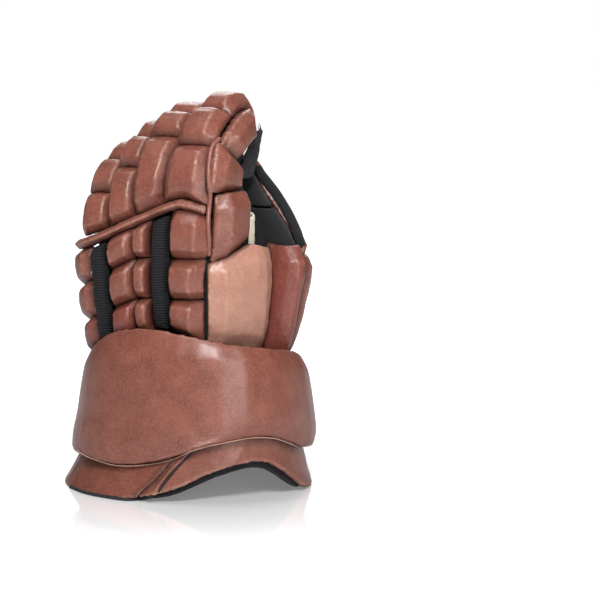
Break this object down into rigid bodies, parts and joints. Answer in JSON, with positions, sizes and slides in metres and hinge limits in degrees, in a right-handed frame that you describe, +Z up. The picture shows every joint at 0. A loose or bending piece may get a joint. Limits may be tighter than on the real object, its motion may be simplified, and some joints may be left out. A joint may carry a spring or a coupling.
{
  "type": "ice hockey glove",
  "caption": "Padded left hand glove: rows of leather blocks over a hollow pocket with four curled finger stalls and a thumb, above a broad cuff band and a flared, arched skirt.",
  "frame": {"origin": "middle of the bottom of the glove's box, on the surface it stands on", "axes": "+Z up from the cuff to the fingertips, +X towards the thumb side, +Y towards the palm"},
  "size_m": [0.2058, 0.1728, 0.322],
  "materials": {
    "brown_leather": "semi-gloss, fine grain",
    "pale_brown_leather": "semi-gloss, fine grain",
    "black_fabric": "matt weave",
    "cream_suede": "matt suede",
    "grey_suede": "matt suede"
  },
  "bodies": {
    "root": {"back_pad_inner_1": "brown_leather", "back_pad_inner_2": "brown_leather", "back_pad_inner_3": "brown_leather", "back_pad_inner_outer_1": "brown_leather", "back_pad_inner_outer_2": "brown_leather", "back_pad_inner_outer_3": "brown_leather", "back_pad_outer_1": "brown_leather", "back_pad_outer_2": "brown_leather", "back_pad_outer_3": "brown_leather", "back_pad_outer_inner_1": "brown_leather", "back_pad_outer_inner_2": "brown_leather", "back_pad_outer_inner_3": "brown_leather", "cuff_band": "brown_leather", "cuff_collar": "black_fabric", "cuff_lining": "black_fabric", "cuff_ulnar_pad_lower": "brown_leather", "cuff_ulnar_pad_upper": "brown_leather", "elastic_inner_ribbon": "black_fabric", "elastic_outer_ribbon": "black_fabric", "finger_stall_index": "black_fabric", "finger_stall_middle": "black_fabric", "finger_stall_pinky": "black_fabric", "finger_stall_ring": "black_fabric", "flare_back": "brown_leather", "flare_palm": "brown_leather", "flare_thumb_side": "brown_leather", "hand_pocket": "black_fabric", "index_middle_roll": "brown_leather", "index_palm_flap": "black_fabric", "index_proximal_roll": "brown_leather", "index_side_pad_1": "brown_leather", "index_side_pad_2": "brown_leather", "index_side_pad_3": "brown_leather", "index_tip_pad": "brown_leather", "knuckle_welt": "brown_leather", "middle_middle_roll": "brown_leather", "middle_proximal_roll": "brown_leather", "middle_tip_pad": "brown_leather", "palm_patch": "grey_suede", "palm_suede": "cream_suede", "palm_tape": "black_fabric", "pinky_middle_roll": "brown_leather", "pinky_proximal_roll": "brown_leather", "pinky_tip_pad": "brown_leather", "ring_middle_roll": "brown_leather", "ring_proximal_roll": "brown_leather", "ring_tip_pad": "brown_leather", "thumb_base_pad": "brown_leather", "thumb_dome": "brown_leather", "thumb_flex_band": "brown_leather", "thumb_gusset": "black_fabric", "thumb_side_guard": "pale_brown_leather", "thumb_side_roll": "brown_leather", "thumb_stall_base": "black_fabric", "thumb_stall_middle": "black_fabric", "thumb_stall_tip": "black_fabric", "ulnar_gusset": "black_fabric", "ulnar_pad_1": "brown_leather", "ulnar_pad_2": "brown_leather", "ulnar_pad_3": "brown_leather"}
  },
  "joints": []
}
